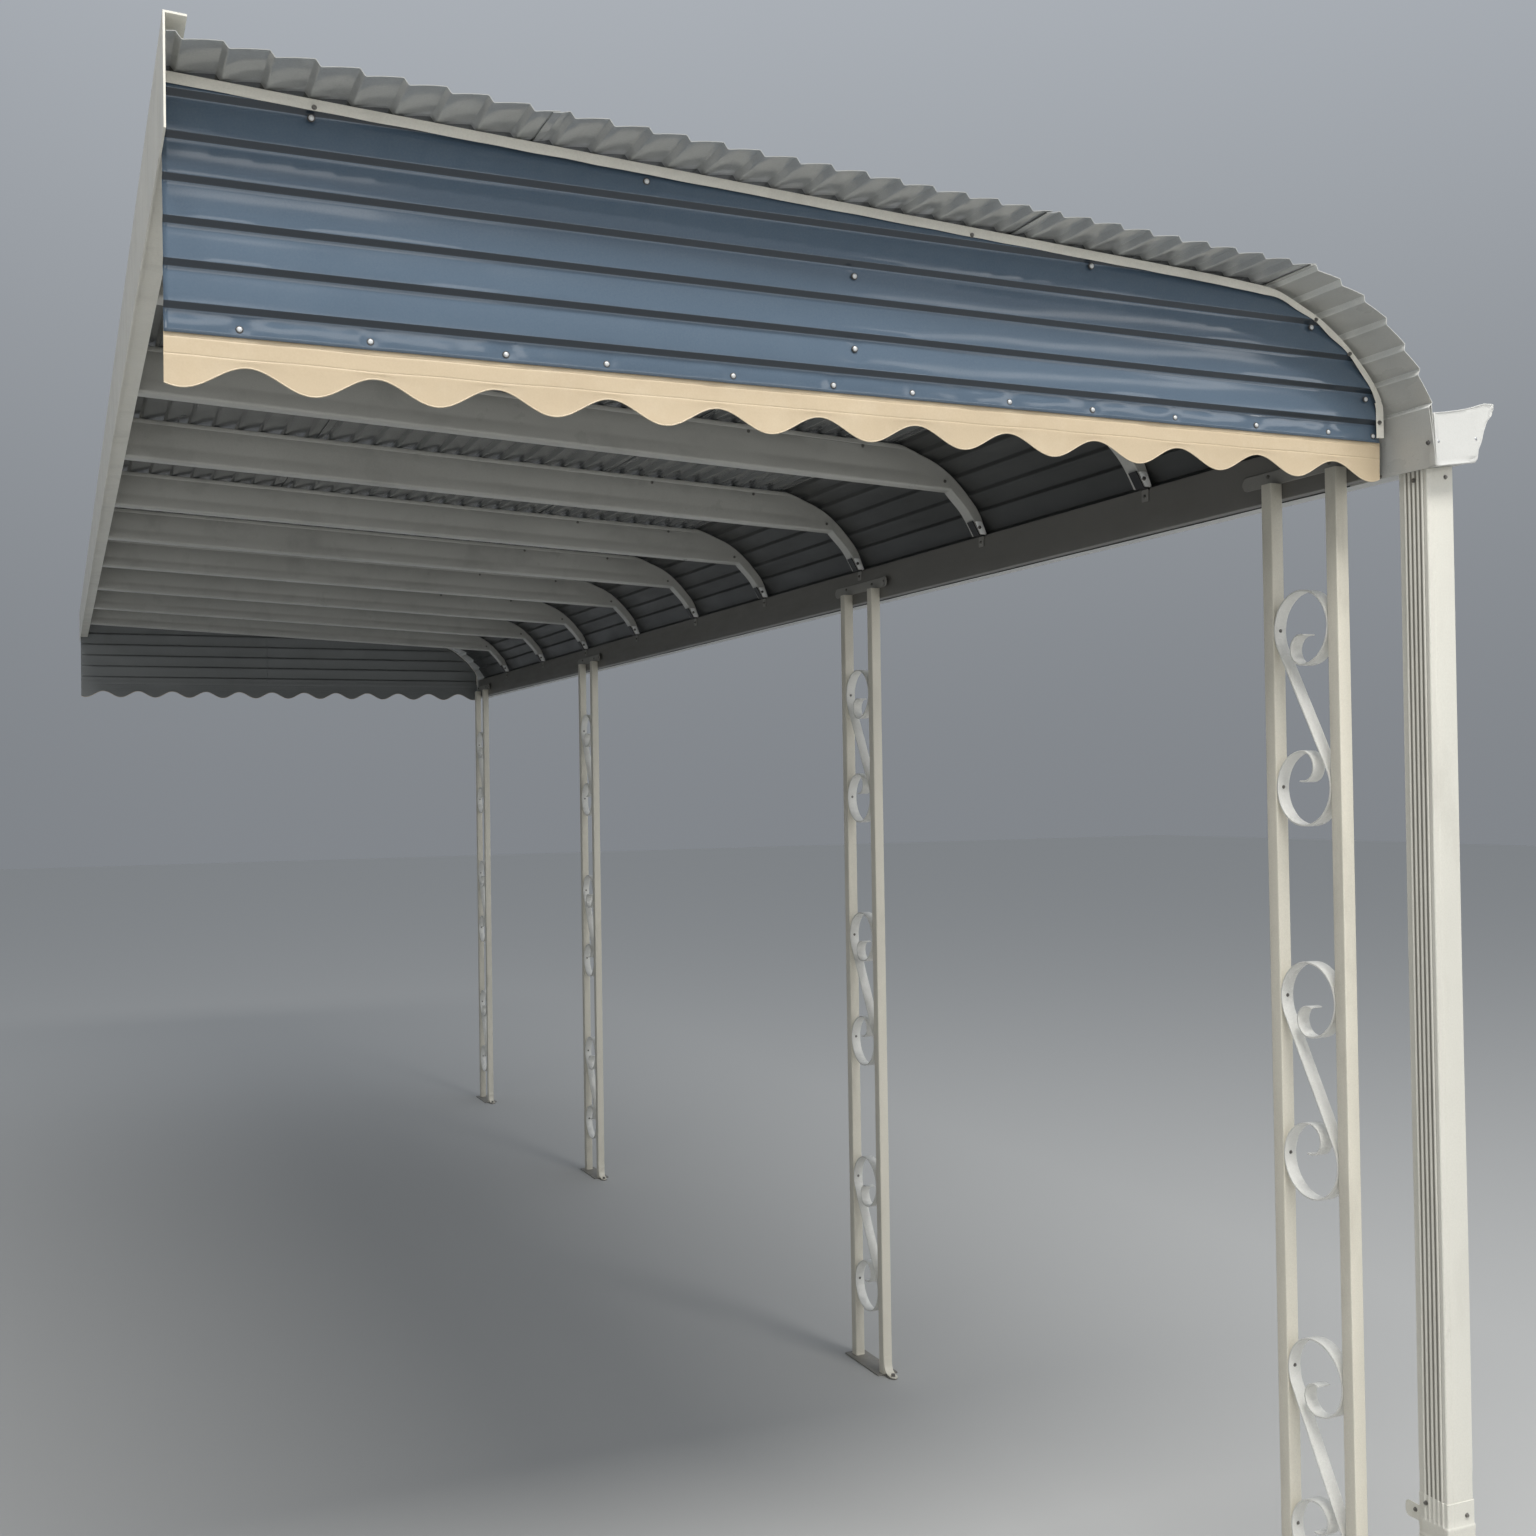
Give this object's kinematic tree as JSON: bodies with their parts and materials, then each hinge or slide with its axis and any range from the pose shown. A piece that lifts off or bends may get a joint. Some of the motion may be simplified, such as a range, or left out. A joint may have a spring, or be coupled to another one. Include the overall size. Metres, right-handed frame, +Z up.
{
  "type": "patio awning",
  "caption": "Lean-to metal patio awning with a ribbed roof rounded at its outer edge, scalloped end panels, a gutter with downspout, and slim scrollwork columns.",
  "frame": {"origin": "middle of the wall rail's flat back face, 2.32 m above the ground", "axes": "+X out from the wall, +Y along the wall from the downspout end to the far end, +Z up"},
  "size_m": [1.997, 6.378, 2.386],
  "materials": {
    "roof_sheet": "satin, weathered",
    "rafter_grey": "satin",
    "trim_cream": "satin",
    "clip_white": "satin",
    "gutter_white": "satin",
    "bare_metal": "mill",
    "end_panel_slate": "gloss enamel",
    "valance_beige": "satin",
    "post_cream": "satin"
  },
  "bodies": {
    "root": {"roof_sheet_house": "roof_sheet", "roof_sheet_middle": "roof_sheet", "roof_sheet_outer": "roof_sheet", "roof_nose": "roof_sheet", "wall_rail": "trim_cream", "rafter_1": "rafter_grey", "rafter_2": "rafter_grey", "rafter_3": "rafter_grey", "rafter_4": "rafter_grey", "rafter_5": "rafter_grey", "rafter_6": "rafter_grey", "rafter_7": "rafter_grey", "rafter_8": "rafter_grey", "rafter_9": "rafter_grey", "header": "trim_cream", "rafter_clips": "clip_white", "gutter": "gutter_white", "gutter_cap_front": "gutter_white", "gutter_cap_rear": "gutter_white", "gutter_straps": "bare_metal", "downspout": "trim_cream", "downspout_elbow": "trim_cream", "front_end_panel": "end_panel_slate", "rear_end_panel_house": "end_panel_slate", "rear_end_panel_outer": "end_panel_slate", "front_trim": "trim_cream", "rear_trim": "trim_cream", "front_valance": "valance_beige", "rear_valance": "valance_beige", "column_1_tubes": "post_cream", "column_1_scrolls": "post_cream", "column_1_base": "post_cream", "column_1_strap": "post_cream", "column_2_tubes": "post_cream", "column_2_scrolls": "post_cream", "column_2_base": "post_cream", "column_2_strap": "post_cream", "column_3_tubes": "post_cream", "column_3_scrolls": "post_cream", "column_3_base": "post_cream", "column_3_strap": "post_cream", "column_4_tubes": "post_cream", "column_4_scrolls": "post_cream", "column_4_base": "post_cream", "column_4_strap": "post_cream"}
  },
  "joints": []
}
